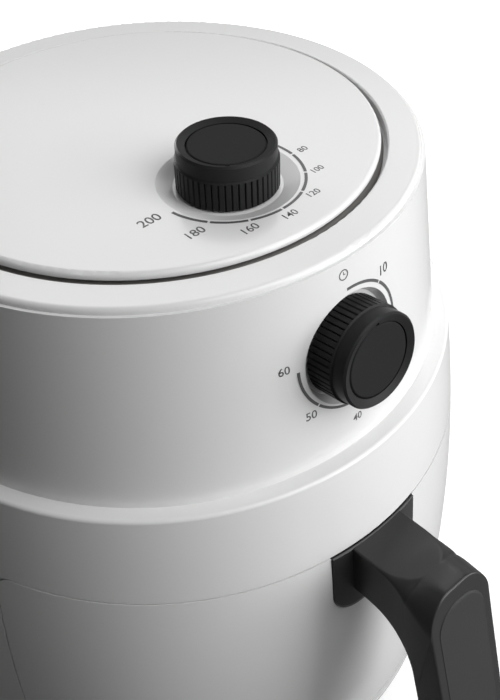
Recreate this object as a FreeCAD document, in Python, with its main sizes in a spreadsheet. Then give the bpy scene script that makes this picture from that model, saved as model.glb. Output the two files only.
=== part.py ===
import FreeCAD, Part
import math
import os
import re
import Sketcher

# Round two-knob air fryer. Lengths are in millimetres and angles in degrees.
# +Z is up and the drawer faces -Y. The origin lies on the worktop, under the
# middle of the whole outline, so the round body's own axis stands AXIS_Y behind it.

SIZES = (
    # outer shells
    ("rim_r", 115), ("rim_z", 306), ("rim_in_r", 100), ("rim_round", 2),
    ("rim_bead", 1), ("rim_bead_low", 2.4), ("lip_tall", 2.6), ("lip_under", 3),
    ("groove_w", 2.6), ("groove_depth", 5), ("cover_rise", 2), ("cover_round", 2),
    ("shell_wall", 2.6), ("seat_w", 7), ("ledge_z", 219), ("ledge_in_r", 126),
    ("ledge_w", 7), ("ledge_round", 1.5), ("ledge_lap", 5), ("belly_bulge", 6),
    ("skirt_r", 140), ("skirt_z", 20), ("base_z", 6), ("base_round", 12),
    # drawer opening and the panels set flush in the wall
    ("open_back", 46), ("open_low", 27), ("open_top", 175), ("open_round", 9), ("seam", 0.9),
    ("rear_w", 44), ("rear_low", 36), ("rear_top", 198), ("rear_round", 9),
    ("louvre_w", 32), ("louvre_tall", 4), ("louvre_pitch", 9), ("louvre_low", 112),
    ("gland_z", 48), ("gland_r", 6.4), ("gland_flange_r", 9), ("gland_barb", 1.4),
    ("gland_flange", 1), ("gland_tail", 5), ("cord_bore_r", 3.6),
    # feet and fixings under the base
    ("foot_r", 11), ("foot_low_r", 9), ("foot_ring_r", 98), ("post_r", 5), ("post_ring_r", 86),
    ("vent_in_r", 24), ("vent_out_r", 52), ("vent_half", 2),
    ("screw_head_r", 3.4), ("screw_head_tall", 2.4), ("screw_r", 1.7),
    ("base_screw_long", 12), ("bracket_screw_long", 9), ("handle_screw_long", 11),
    # cooking chamber
    ("liner_w", 114), ("liner_wall", 1.2), ("liner_low", 28), ("liner_top", 166),
    ("liner_front", 48), ("dome_r", 100), ("dome_top", 205), ("dome_lip", 6), ("dome_wall", 1),
    ("runner_x", 58), ("runner_w", 10), ("runner_len", 100), ("rest_gap", 0.3),
    # air and heat
    ("coil_z", 182), ("coil_tube_r", 3), ("coil_space", 18), ("coil_pitch", 9),
    ("bush_wall", 2), ("bush_collar", 4), ("bush_tall", 4),
    ("guard_z", 171), ("guard_wire_r", 1.3), ("guard_first_r", 30), ("guard_pitch", 25),
    ("shaft_r", 3), ("slip", 0.06),
    ("fan_r", 56), ("fan_z", 189), ("fan_tall", 11), ("blower_r", 50), ("blower_z", 211),
    ("blower_tall", 13), ("motor_z", 231.5), ("motor_r", 34), ("motor_tall", 34),
    ("bracket_r", 68), ("bracket_sheet", 1.5), ("leg_ring_r", 60), ("leg_r", 4),
    # drawer, pan and tray
    ("front_wall", 3), ("pan_r", 104), ("pan_low_r", 98), ("pan_low", 35), ("pan_top", 150),
    ("pan_wall", 1.6), ("pan_lip", 6), ("pan_round", 12), ("tray_r", 94), ("tray_z", 48),
    ("tray_sheet", 2), ("tray_lip", 5), ("slot_first_r", 28), ("slot_pitch", 20), ("slot_half", 5),
    ("slot_side", 2.6), ("tray_foot_r", 4), ("tray_foot_ring_r", 82), ("loop_r", 11), ("loop_wire_r", 2),
    # handle
    ("escutcheon_w", 25), ("escutcheon_low", 137), ("escutcheon_round", 12), ("proud", 1),
    ("arm_w", 34), ("arm_top", 172), ("arm_low", 148), ("arm_root", 126), ("arm_round", 14),
    ("handle_reach", 210), ("grip_lean", 26), ("grip_deep", 18), ("grip_low", 62), ("grip_toe", 14),
    ("elbow_drop", 4), ("elbow_run", 20), ("elbow_round", 60), ("hand_round", 25), ("toe_round", 5),
    ("grip_edge", 2), ("screw_half", 9),
    ("frame_w", 4.5), ("insert_deep", 2), ("insert_long", 80), ("insert_round", 11.5), ("insert_sunk", 0.4),
    ("flat_half", 15.5), ("flat_deep", 12), ("flat_round", 6),
    # dials
    ("dial_y", 52), ("dial_rest", -40), ("dish_r", 28), ("dish_floor_r", 21.5), ("dish_deep", 2.4),
    ("boss_r", 31), ("boss_deep", 6), ("knob_r", 20.2), ("knob_upper_r", 19.4), ("knob_tall", 16.6),
    ("knob_rib_tall", 9.8), ("knob_rib_deep", 0.7), ("knob_ribs", 50), ("knob_cap_r", 15.2),
    ("dimple_r", 0.9), ("knob_gap", 0.5), ("spindle_r", 3), ("timer_z", 265), ("timer_sunk", 2.6),
    ("timer_dish_r", 24), ("clock_half", 23), ("clock_deep", 26), ("clock_back", 9), ("stat_half", 17),
    ("stat_deep", 24), ("bell_r", 17), ("bell_tall", 10), ("bell_arc", 9), ("bell_stem_r", 3),
    # drawer switch
    ("switch_z", 146), ("switch_half", 9), ("switch_deep", 12), ("plunger_r", 2.5),
)

# Sizes that follow from the ones above. The lower wall is one arc from the skirt to the
# ledge that stands belly_bulge out from the straight line between them.
WORKED_OUT = (
    ("ledge_out_r", "ledge_in_r + ledge_w"),
    ("wall_chord", "sqrt((ledge_out_r - skirt_r)^2 + (ledge_z - skirt_z)^2)"),
    ("wall_arc", "(wall_chord^2 / 4 + belly_bulge^2) / (2 * belly_bulge)"),
    ("wall_mid_r", "(skirt_r + ledge_out_r) / 2 - (wall_arc - belly_bulge) * (ledge_z - skirt_z) / wall_chord"),
    ("wall_mid_z", "(skirt_z + ledge_z) / 2 + (wall_arc - belly_bulge) * (ledge_out_r - skirt_r) / wall_chord"),
    ("belly_r", "wall_mid_r + wall_arc"),
    ("gland_over", "wall_mid_r + sqrt(wall_arc^2 - (gland_z + gland_flange_r - wall_mid_z)^2)"),
    ("gland_under", "wall_mid_r + sqrt(wall_arc^2 - (gland_z - gland_flange_r - wall_mid_z)^2)"),
    ("gland_seat", "max(gland_over, gland_under) + slip"),
    ("gland_neck", "front_wall + abs(gland_over - gland_under) + 4 * rest_gap"),
    ("rear_reach", "max(belly_r, gland_seat + gland_flange)"),
    ("coil_first_r", "dome_r - dome_wall - coil_space - 2 * coil_pitch"),
    ("elbow_y", "handle_reach - grip_lean"),
    ("elbow_z", "arm_top - elbow_drop"),
    ("grip_slope", "grip_lean / (elbow_z - grip_low - grip_toe)"),
    ("hand_y", "elbow_y + grip_slope * (elbow_z - arm_low) - grip_deep"),
    ("hand_room", "hand_y - proud - wall_mid_r - sqrt(wall_arc^2 - (arm_low - wall_mid_z)^2)"),
    ("crease_room", "elbow_y - elbow_run - proud - wall_mid_r - sqrt(wall_arc^2 - (arm_top - wall_mid_z)^2)"),
)

doc = FreeCAD.newDocument("AirFryer")
sheet = doc.addObject("Spreadsheet::Sheet", "Sizes")
for row, (alias, number) in enumerate(SIZES, 1):
    sheet.set("A%d" % row, alias.replace("_", " "))
    sheet.set("B%d" % row, str(number))
    sheet.setAlias("B%d" % row, alias)
for row, (alias, formula) in enumerate(WORKED_OUT, len(SIZES) + 1):
    sheet.set("A%d" % row, alias.replace("_", " "))
    sheet.set("B%d" % row, "=" + formula)
    sheet.setAlias("B%d" % row, alias)
doc.recompute()
ALIASES = {alias for alias, entry in SIZES + WORKED_OUT}

AXIS_Y = "(handle_reach - rear_reach) / 2"
COVER_Z = "rim_z + cover_rise"
COVER_R = "rim_in_r - groove_w"
SEAT_Z = "rim_z - groove_depth"
CONE = "(ledge_in_r - rim_r) / (rim_z - ledge_z)"
TIMER_R = "rim_r + (rim_z - timer_z) * " + CONE
TIMER_TURN = "90 - atan(" + CONE + ") / 1 deg"


def timer_point(depth):
    """A point of the timer's axis, that deep behind the front wall."""
    return {"y": "-(%s) + (%s) * cos(atan(%s))" % (TIMER_R, depth, CONE),
            "z": "timer_z - (%s) * sin(atan(%s))" % (depth, CONE)}
GRIP_LEAN = "atan(grip_slope) / 1 deg"
COIL_TAILS = (("coil_first_r", "-3 * coil_tube_r"), ("coil_first_r + 2 * coil_pitch", "3 * coil_tube_r"))
SCREW_Z = "(arm_top + pan_top) / 2"
SCREW_X = ("-screw_half", "screw_half")
OUT = FreeCAD.Vector(0, 0, 1)
nodes = []


def cells(text):
    """The text with every size name pointed at the sheet."""
    def point(match):
        word = match.group(0)
        return "Sizes." + word if word in ALIASES else word
    return re.sub(r"[a-z_]+[a-z]", point, text)


def value(text):
    """The number an expression has now."""
    return float(sheet.evalExpression(cells(text)))


def bind(thing, **sizes):
    """Bind properties of an object to sizes."""
    for name, text in sizes.items():
        thing.setExpression(name, cells(text))


def put(thing, x="0", y="0", z="0", turn=None, about=(1, 0, 0)):
    """Place an object relative to the body's axis, turned about one axis."""
    if turn is not None:
        rotation = FreeCAD.Rotation(FreeCAD.Vector(*about), value(turn))
        thing.Placement = FreeCAD.Placement(FreeCAD.Vector(), rotation)
        thing.setExpression("Placement.Rotation.Angle", cells(turn))
    thing.setExpression("Placement.Base.x", cells(x))
    thing.setExpression("Placement.Base.y", cells(AXIS_Y + " + " + y))
    thing.setExpression("Placement.Base.z", cells(z))
    return thing


def node(thing, name):
    """Keep an object as one named piece of the assembly."""
    thing.Label = name
    nodes.append(thing)
    return thing


def new_body(name):
    body = doc.addObject("PartDesign::Body", name + "_body")
    body.AllowCompound = True
    return body


def sketch_on(body, role, shift="0", rise="0", tilt=None):
    """A sketch on one of the body's own planes, moved off it and tilted about its x axis."""
    sketch = body.newObject("Sketcher::SketchObject", body.Name + "_sketch")
    plane = [item for item in body.Origin.OriginFeatures if item.Role == role][0]
    sketch.AttachmentSupport = [(plane, "")]
    sketch.MapMode = "FlatFace"
    if tilt is not None:
        turn = FreeCAD.Rotation(FreeCAD.Vector(1, 0, 0), value(tilt))
        sketch.AttachmentOffset = FreeCAD.Placement(FreeCAD.Vector(), turn)
        sketch.setExpression("AttachmentOffset.Rotation.Angle", cells(tilt))
    sketch.setExpression("AttachmentOffset.Base.z", cells(shift))
    sketch.setExpression("AttachmentOffset.Base.y", cells(rise))
    return sketch


def pin(sketch, edge, end, x, y):
    """Hold one point of a sketch at bound coordinates."""
    for kind, text, axis in (("DistanceX", x, -2), ("DistanceY", y, -1)):
        if text == "0":
            sketch.addConstraint(Sketcher.Constraint("PointOnObject", edge, end, axis))
        else:
            spot = Sketcher.Constraint(kind, -1, 1, edge, end, value(text))
            index = sketch.addConstraint(spot)
            sketch.setExpression("Constraints[%d]" % index, cells(text))


def outline(sketch, corners):
    """A closed outline of bound corners. A corner may carry the bound radius of the
    arc to the next corner, or "half" for half a circle, and +1 or -1 for the side of its centre."""
    points = [FreeCAD.Vector(value(c[0]), value(c[1]), 0) for c in corners]
    ends = []
    for index, corner in enumerate(corners):
        here = points[index]
        there = points[(index + 1) % len(points)]
        if len(corner) == 2:
            edge = sketch.addGeometry(Part.LineSegment(here, there))
            ends.append((edge, 1, 2))
            continue
        half = (there - here) * 0.5
        radius = half.Length if corner[2] == "half" else value(corner[2])
        across = OUT.cross(half).normalize() * corner[3]
        centre = here + half + across * math.sqrt(max(radius ** 2 - half.Length ** 2, 0))
        first, last = (here, there) if corner[3] > 0 else (there, here)
        start = math.atan2(first.y - centre.y, first.x - centre.x)
        stop = math.atan2(last.y - centre.y, last.x - centre.x)
        arc = Part.ArcOfCircle(Part.Circle(centre, OUT, radius), start, stop)
        edge = sketch.addGeometry(arc)
        ends.append((edge, 1, 2) if corner[3] > 0 else (edge, 2, 1))
    for index, (edge, start, stop) in enumerate(ends):
        after = ends[(index + 1) % len(ends)]
        sketch.addConstraint(Sketcher.Constraint("Coincident", edge, stop, after[0], after[1]))
    for corner, (edge, start, stop) in zip(corners, ends):
        pin(sketch, edge, start, corner[0], corner[1])
        if len(corner) == 4 and corner[2] == "half":
            sketch.addConstraint(Sketcher.Constraint("Symmetric", edge, 1, edge, 2, edge, 3))
        elif len(corner) == 4:
            index = sketch.addConstraint(Sketcher.Constraint("Radius", edge, value(corner[2])))
            sketch.setExpression("Constraints[%d]" % index, cells(corner[2]))
    return sketch


def circle(sketch, x, y, radius):
    centre = FreeCAD.Vector(value(x), value(y), 0)
    edge = sketch.addGeometry(Part.Circle(centre, OUT, value(radius)))
    pin(sketch, edge, 3, x, y)
    index = sketch.addConstraint(Sketcher.Constraint("Radius", edge, value(radius)))
    sketch.setExpression("Constraints[%d]" % index, cells(radius))


def rectangle(sketch, left, right, low, top):
    outline(sketch, [(left, low), (right, low), (right, top), (left, top)])


def rounded(sketch, half, low, top, corner, middle="0"):
    """A rectangle with round corners, symmetric about middle."""
    left, right = "%s - (%s)" % (middle, half), "%s + %s" % (middle, half)
    inner_left, inner_right = left + " + " + corner, right + " - " + corner
    inner_low, inner_top = "%s + %s" % (low, corner), "%s - %s" % (top, corner)
    outline(sketch, [
        (inner_left, low), (inner_right, low, corner, 1),
        (right, inner_low), (right, inner_top, corner, 1),
        (inner_right, top), (inner_left, top, corner, 1),
        (left, inner_top), (left, inner_low, corner, 1)])


def revolve(body, sketch, kind="Revolution"):
    turned = body.newObject("PartDesign::" + kind, body.Name + "_turned")
    turned.Profile = sketch
    turned.ReferenceAxis = (sketch, ["V_Axis"])
    turned.Angle = 360
    return turned


def pad(body, sketch, length, both=False, back=False):
    raised = body.newObject("PartDesign::Pad", body.Name + "_pad")
    raised.Profile = sketch
    if both:
        raised.SideType = "Symmetric"
    raised.Reversed = back
    bind(raised, Length=length)
    return raised


def pocket(body, sketch, length=None, along=False):
    """Cut against the sketch's normal, or along it."""
    cut = body.newObject("PartDesign::Pocket", body.Name + "_cut")
    cut.Profile = sketch
    cut.Reversed = along
    if length is None:
        cut.Type = "ThroughAll"
    else:
        bind(cut, Length=length)
    return cut


def polar(body, feature, count, angle=360):
    ring = body.newObject("PartDesign::PolarPattern", body.Name + "_ring")
    ring.Originals = [feature]
    axis = [item for item in body.Origin.OriginFeatures if item.Role == "Z_Axis"][0]
    ring.Axis = (axis, [""])
    ring.Angle = angle
    bind(ring, Occurrences=count)
    body.Tip = ring
    return ring


def rounding(body, base, radius, wanted, kind="Fillet"):
    """Round or bevel the edges of a feature that a test picks."""
    doc.recompute()
    names = ["Edge%d" % i for i, edge in enumerate(base.Shape.Edges, 1) if wanted(edge)]
    soft = body.newObject("PartDesign::" + kind, body.Name + "_soft")
    soft.Base = (base, names)
    bind(soft, **{"Radius" if kind == "Fillet" else "Size": radius})
    doc.recompute()
    return soft


def ring_at(edge, radius, height):
    """True for a full circle about the axis with this radius and height."""
    curve = edge.Curve
    if not isinstance(curve, Part.Circle):
        return False
    return abs(curve.Radius - value(radius)) < 0.01 and abs(curve.Center.z - value(height)) < 0.01


def wall_at(height):
    """Radius of the lower wall's face at a height."""
    return "(wall_mid_r + sqrt(wall_arc^2 - (%s - wall_mid_z)^2))" % height


def wall_band(out, deep):
    """Corners of the lower wall's section, from out beyond its face to deep behind it."""
    return [
        ("skirt_r + " + out, "skirt_z", "wall_arc", 1), ("ledge_out_r + " + out, "ledge_z"),
        ("ledge_out_r - " + deep, "ledge_z", "wall_arc", -1), ("skirt_r - " + deep, "skirt_z")]


def mouth(sketch, spread):
    """The side view of the drawer opening, spread inward all round."""
    back, low = "-open_back - " + spread, "open_low + " + spread
    top, corner = "open_top - " + spread, "open_round - " + spread
    outline(sketch, [
        ("-belly_r - 10", low), (back + " - (%s)" % corner, low, corner, 1),
        (back, low + " + " + corner), (back, top + " - (%s)" % corner, corner, 1),
        (back + " - (%s)" % corner, top), ("-belly_r - 10", top)])


def tongue(sketch, spread):
    """The front view of the handle's escutcheon, spread outward: round below, square at the seam."""
    half, low = "escutcheon_w + " + spread, "escutcheon_low - " + spread
    top, corner = "open_top - seam + 20 * (%s)" % spread, "escutcheon_round + " + spread
    outline(sketch, [
        ("-(%s)" % half, top), ("-(%s)" % half, "%s + %s" % (low, corner), corner, 1),
        ("%s - (%s)" % (corner, half), low), ("%s - (%s)" % (half, corner), low, corner, 1),
        (half, "%s + %s" % (low, corner)), (half, top)])


def wall_patch(name, out, deep, plane, draw, rear=False):
    """A piece of the lower wall on the front or the rear, inside the outline that draw makes."""
    body = new_body(name)
    revolve(body, outline(sketch_on(body, "XZ_Plane"), wall_band(out, deep)))
    other_half = sketch_on(body, "XZ_Plane")
    rectangle(other_half, "-belly_r - 20", "belly_r + 20", "0", "rim_z")
    pocket(body, other_half, along=rear)
    around = sketch_on(body, plane)
    rectangle(around, "-belly_r - 20", "belly_r + 20", "-20", "rim_z")
    draw(around)
    trim = pocket(body, around, along=not rear)
    if plane == "YZ_Plane":
        trim.SideType = "Symmetric"
    return body


def cylinder(name, radius, height, x="0", y="0", z="0", turn=None, about=(1, 0, 0)):
    rod = doc.addObject("Part::Cylinder", name)
    bind(rod, Radius=radius, Height=height)
    return put(rod, x, y, z, turn, about)


def cone(name, low_radius, top_radius, height, x="0", y="0", z="0", turn=None):
    taper = doc.addObject("Part::Cone", name)
    bind(taper, Radius1=low_radius, Radius2=top_radius, Height=height)
    return put(taper, x, y, z, turn)


def around_axis(radius, count, start=45):
    """Bound x and y of points spread round the axis."""
    for index in range(count):
        angle = start + 360.0 * index / count
        yield "%s * cos(%s deg)" % (radius, angle), "%s * sin(%s deg)" % (radius, angle)


def joined(name, pieces):
    fused = doc.addObject("Part::MultiFuse", name)
    fused.Shapes = pieces
    return fused


def cut_from(name, base, tool):
    cut = doc.addObject("Part::Cut", name)
    cut.Base = base
    cut.Tool = tool
    return cut


def gathered(name, pieces):
    """Several loose solids kept as one piece."""
    group = doc.addObject("Part::Compound", name)
    group.Links = pieces
    return node(group, name)


def build_base_cover():
    body = new_body("base_cover")
    dish = outline(sketch_on(body, "XZ_Plane"), [
        ("0", "base_z"), ("skirt_r - base_round", "base_z", "base_round", 1),
        ("skirt_r", "base_z + base_round"), ("skirt_r", "skirt_z"),
        ("skirt_r - shell_wall", "skirt_z"),
        ("skirt_r - shell_wall", "base_z + base_round", "base_round - shell_wall", -1),
        ("skirt_r - base_round", "base_z + shell_wall"), ("0", "base_z + shell_wall")])
    revolve(body, dish)
    posts = sketch_on(body, "XY_Plane", "base_z + shell_wall / 2")
    for x, y in around_axis("post_ring_r", 4, 0):
        circle(posts, x, y, "post_r")
    pad(body, posts, "liner_low - base_z - shell_wall / 2")
    slot = sketch_on(body, "XY_Plane")
    outline(slot, [("vent_in_r", "-vent_half"), ("vent_out_r", "-vent_half", "half", 1),
                   ("vent_out_r", "vent_half"), ("vent_in_r", "vent_half", "half", 1)])
    vent = pocket(body, slot, along=True)
    polar(body, vent, "14")
    screws = sketch_on(body, "XY_Plane")
    for x, y in around_axis("post_ring_r", 4, 0):
        circle(screws, x, y, "screw_r + slip")
    pocket(body, screws, "base_z + base_screw_long + 2", along=True)
    node(put(body), "base_cover")


def build_feet_and_screws():
    feet = [cone("foot", "foot_low_r", "foot_r", "base_z", x, y)
            for x, y in around_axis("foot_ring_r", 4)]
    gathered("feet", feet)
    screws = []
    for x, y in around_axis("post_ring_r", 4, 0):
        head = cylinder("head", "screw_head_r", "screw_head_tall", x, y, "base_z - screw_head_tall")
        shank = cylinder("shank", "screw_r", "base_screw_long", x, y, "base_z")
        screws.append(joined("base_screw", [head, shank]))
    gathered("base_screws", screws)


def build_lower_housing():
    body = new_body("lower_housing")
    wall = wall_band("0", "shell_wall")
    ledge = [("ledge_in_r - ledge_lap", "ledge_z"), ("ledge_in_r - ledge_lap", "ledge_z - shell_wall"),
             ("ledge_out_r - shell_wall", "ledge_z - shell_wall", "wall_arc", -1)]
    shell = revolve(body, outline(sketch_on(body, "XZ_Plane"), wall[:2] + ledge + wall[3:]))
    rounding(body, shell, "ledge_round", lambda edge: ring_at(edge, "ledge_out_r", "ledge_z"))
    drawer_hole = sketch_on(body, "YZ_Plane")
    mouth(drawer_hole, "0")
    pocket(body, drawer_hole).SideType = "Symmetric"
    rear_hole = sketch_on(body, "XZ_Plane")
    rounded(rear_hole, "rear_w", "rear_low", "rear_top", "rear_round")
    pocket(body, rear_hole)
    node(put(body), "lower_housing")


def build_rear_panel():
    def edge(sketch):
        rounded(sketch, "rear_w - rest_gap", "rear_low + rest_gap", "rear_top - rest_gap",
                "rear_round - rest_gap")

    body = wall_patch("rear_panel", "0", "front_wall", "XZ_Plane", edge, rear=True)
    for step in range(9):
        slot = sketch_on(body, "XZ_Plane")
        low = "louvre_low + %d * louvre_pitch" % step
        outline(slot, [
            ("-louvre_w", low), ("louvre_w", low, "half", 1),
            ("louvre_w", low + " + louvre_tall"),
            ("-louvre_w", low + " + louvre_tall", "half", 1)])
        pocket(body, slot)
    seat = sketch_on(body, "XZ_Plane")
    circle(seat, "0", "gland_z", "gland_r + slip")
    pocket(body, seat)
    node(put(body), "rear_panel")
    gland = new_body("cord_gland")
    neck = "-gland_neck"
    bush = outline(sketch_on(gland, "XZ_Plane"), [
        ("cord_bore_r", neck + " - gland_tail"), ("gland_r + gland_barb", neck + " - gland_tail"),
        ("gland_r + gland_barb", neck + " - 2"), ("gland_r", neck), ("gland_r", "0"),
        ("gland_flange_r", "0"), ("gland_flange_r", "gland_flange - 0.6"),
        ("gland_flange_r - 0.6", "gland_flange"), ("cord_bore_r + 0.6", "gland_flange"),
        ("cord_bore_r", "gland_flange - 0.6")])
    revolve(gland, bush)
    node(put(gland, "0", "gland_seat", "gland_z", "-90"), "cord_gland")


def build_upper_housing():
    shell = new_body("upper_shell")
    web = SEAT_Z + " - shell_wall"
    bead = "rim_z - rim_bead_low"
    turned = revolve(shell, outline(sketch_on(shell, "XZ_Plane"), [
        ("rim_in_r", "rim_z"), ("rim_in_r", SEAT_Z), (COVER_R + " - seat_w", SEAT_Z),
        (COVER_R + " - seat_w", web), ("rim_r - shell_wall", web),
        ("ledge_in_r - shell_wall", "ledge_z"), ("ledge_in_r", "ledge_z"),
        ("rim_r + rim_bead_low * " + CONE, bead), ("rim_r - rim_bead", bead),
        ("rim_r - rim_bead", "rim_z - rim_round", "rim_round", 1),
        ("rim_r - rim_bead - rim_round", "rim_z")]))
    rounding(shell, turned, "0.8", lambda edge: ring_at(edge, "rim_in_r", "rim_z"))
    put(shell)
    frustum = cone("cone_face", "ledge_in_r", "rim_r", "rim_z - ledge_z", z="ledge_z")
    stub = cylinder("dial_boss", "boss_r", "20", turn=TIMER_TURN,
                    **timer_point("timer_sunk + clock_back - 0.05"))
    boss = doc.addObject("Part::MultiCommon", "timer_boss")
    boss.Shapes = [frustum, stub]
    backed = joined("upper_backed", [shell, boss])
    dish = cone("timer_dish", "dish_floor_r", "timer_dish_r + 0.4", "timer_sunk + dish_deep + 0.8",
                turn=TIMER_TURN, **timer_point("timer_sunk + dish_deep"))
    bore = cylinder("timer_bore", "spindle_r + 2", "60", turn=TIMER_TURN, **timer_point("30"))
    node(cut_from("upper_housing", backed, joined("timer_cuts", [dish, bore])), "upper_housing")


def build_top_cover():
    body = new_body("top_cover")
    skirt = COVER_R + " - lip_under"
    turned = outline(sketch_on(body, "XZ_Plane"), [
        ("0", COVER_Z), ("0", COVER_Z + " - shell_wall"),
        (skirt + " - shell_wall", COVER_Z + " - shell_wall"), (skirt + " - shell_wall", SEAT_Z),
        (skirt, SEAT_Z), (skirt, COVER_Z + " - lip_tall"), (COVER_R, COVER_Z + " - lip_tall"),
        (COVER_R, COVER_Z + " - cover_round", "cover_round", 1),
        (COVER_R + " - cover_round", COVER_Z)])
    revolve(body, turned)
    boss = sketch_on(body, "XY_Plane", COVER_Z + " - boss_deep")
    circle(boss, "0", "-dial_y", "boss_r")
    pad(body, boss, "boss_deep - shell_wall / 2")
    put(body)
    dish = cone("dial_dish", "dish_floor_r", "dish_r", "dish_deep", "0", "-dial_y",
                COVER_Z + " - dish_deep")
    bore = cylinder("dial_bore", "spindle_r + 2", "20", "0", "-dial_y", COVER_Z + " - 15")
    node(cut_from("top_cover", body, joined("dial_cuts", [dish, bore])), "top_cover")


def build_chamber():
    liner = new_body("chamber_liner")
    outer = sketch_on(liner, "XY_Plane", "liner_low")
    outline(outer, [("liner_w", "-liner_front"), ("liner_w", "0", "half", 1),
                    ("-liner_w", "0"), ("-liner_w", "-liner_front")])
    pad(liner, outer, "liner_top - liner_low")
    inner = sketch_on(liner, "XY_Plane", "liner_low + liner_wall")
    inside = "liner_w - liner_wall"
    outline(inner, [(inside, "-liner_front - 5"), (inside, "0", "half", 1),
                    ("-(%s)" % inside, "0"), ("-(%s)" % inside, "-liner_front - 5")])
    pocket(liner, inner, "liner_top - liner_low - 2 * liner_wall", along=True)
    heat_hole = sketch_on(liner, "XY_Plane", "liner_top")
    circle(heat_hole, "0", "0", "dome_r - dome_wall")
    pocket(liner, heat_hole, "liner_wall + 1")
    switch_hole = sketch_on(liner, "XZ_Plane")
    circle(switch_hole, "0", "switch_z", "plunger_r + 0.4")
    pocket(liner, switch_hole)
    node(put(liner), "chamber_liner")

    runners = new_body("drawer_runners")
    strips = sketch_on(runners, "XY_Plane", "liner_low + liner_wall")
    for side in ("-", ""):
        left, right = "%srunner_x - runner_w / 2" % side, "%srunner_x + runner_w / 2" % side
        outline(strips, [
            (left, "-runner_len / 2 + 10"), (left + " + 2", "-runner_len / 2"),
            (right + " - 2", "-runner_len / 2"), (right, "-runner_len / 2 + 10"),
            (right, "runner_len / 2"), (left, "runner_len / 2")])
    pad(runners, strips, "pan_low - rest_gap - liner_low - liner_wall")
    node(put(runners), "drawer_runners")

    dome = new_body("air_dome")
    inside = "dome_r - dome_wall"
    revolve(dome, outline(sketch_on(dome, "XZ_Plane"), [
        (inside, "liner_top"), ("dome_r + dome_lip", "liner_top"),
        ("dome_r + dome_lip", "liner_top + dome_wall"), ("dome_r", "liner_top + dome_wall"),
        ("dome_r - 6", "dome_top - 6"), ("dome_r - 12", "dome_top"), ("shaft_r + 4", "dome_top"),
        ("shaft_r + 4", "dome_top - dome_wall"), ("dome_r - 12.6", "dome_top - dome_wall"),
        ("dome_r - 6.9", "dome_top - 6.6")]))
    leads = sketch_on(dome, "XY_Plane", "dome_top")
    for x, y in COIL_TAILS:
        circle(leads, x, y, "coil_tube_r + bush_wall + slip")
    pocket(dome, leads, "dome_wall + 2")
    node(put(dome), "air_dome")


def own_gap(route, tube):
    """The least gap of a round tube to itself, between points that lie well apart along it."""
    step = tube / 2
    points = route.discretize(Distance=step)
    apart = int(4 * tube / step)
    least = min(points[i].distanceToPoint(points[j])
                for i in range(len(points)) for j in range(i + apart, len(points)))
    return least - 2 * tube


def build_heater():
    tube = value("coil_tube_r")
    height = value("coil_z")
    bend = 3 * tube
    lift = value("dome_top + 14")
    radius = value("coil_first_r")
    grow = value("coil_pitch / 2")
    down = math.sin(math.pi / 4) * bend

    # the tail that comes down through the dome and turns into the coil
    top = FreeCAD.Vector(radius, -bend, lift)
    knee = FreeCAD.Vector(radius, -bend, height + bend)
    start = FreeCAD.Vector(radius, 0, height)
    middle = FreeCAD.Vector(radius, -down, height + bend - down)
    path = [Part.LineSegment(top, knee).toShape(), Part.Arc(knee, middle, start).toShape()]

    # half circles on two centres, each half a pitch wider than the last
    side = 1
    for index in range(4):
        stop = start - FreeCAD.Vector(2 * radius * side, 0, 0)
        crest = (start + stop) * 0.5 + FreeCAD.Vector(0, radius * side, 0)
        path.append(Part.Arc(start, crest, stop).toShape())
        start = stop
        radius = radius + grow
        side = -side

    # the tail that turns up and leaves through the dome again
    knee = start + FreeCAD.Vector(0, bend, bend)
    middle = start + FreeCAD.Vector(0, down, bend - down)
    path.append(Part.Arc(start, middle, knee).toShape())
    path.append(Part.LineSegment(knee, FreeCAD.Vector(knee.x, knee.y, lift)).toShape())
    ring = Part.Wire(Part.makeCircle(tube, top, FreeCAD.Vector(0, 0, -1)))
    heater = doc.addObject("Part::Feature", "heater_element")
    route = Part.Wire(path)
    heater.Shape = route.makePipeShell([ring], True, False)
    print("heater_element least gap to itself %.2f mm" % own_gap(route, tube))
    node(put(heater), "heater_element")

    bushes = []
    for x, y in COIL_TAILS:
        neck = cylinder("neck", "coil_tube_r + bush_wall", "dome_wall + 1.5 * bush_tall", x, y,
                        "dome_top - dome_wall - bush_tall / 2")
        collar = cylinder("collar", "coil_tube_r + bush_collar", "bush_tall", x, y, "dome_top")
        bore = cylinder("bore", "coil_tube_r + slip", "10 * bush_tall", x, y, "dome_top - 5 * bush_tall")
        bushes.append(cut_from("heater_bush", joined("bush_outer", [neck, collar]), bore))
    gathered("heater_insulators", bushes)

    wires = []
    for index in range(3):
        hoop = doc.addObject("Part::Torus", "guard_hoop")
        bind(hoop, Radius1="guard_first_r + %d * guard_pitch" % index, Radius2="guard_wire_r")
        wires.append(put(hoop, z="guard_z"))
    reach = "dome_r - dome_wall - 1.2"
    for angle in ("45", "-45"):
        x, y = "(%s) * sin(%s deg)" % (reach, angle), "-(%s) * cos(%s deg)" % (reach, angle)
        spoke = cylinder("guard_spoke", "guard_wire_r", "2 * (%s)" % reach)
        lay = FreeCAD.Rotation(FreeCAD.Vector(1, 0, 0), -90)
        spin = FreeCAD.Rotation(OUT, float(angle))
        spoke.Placement = FreeCAD.Placement(FreeCAD.Vector(), spin.multiply(lay))
        wires.append(put(spoke, x, y, "guard_z"))
    node(joined("heater_guard", wires), "heater_guard")


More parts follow.
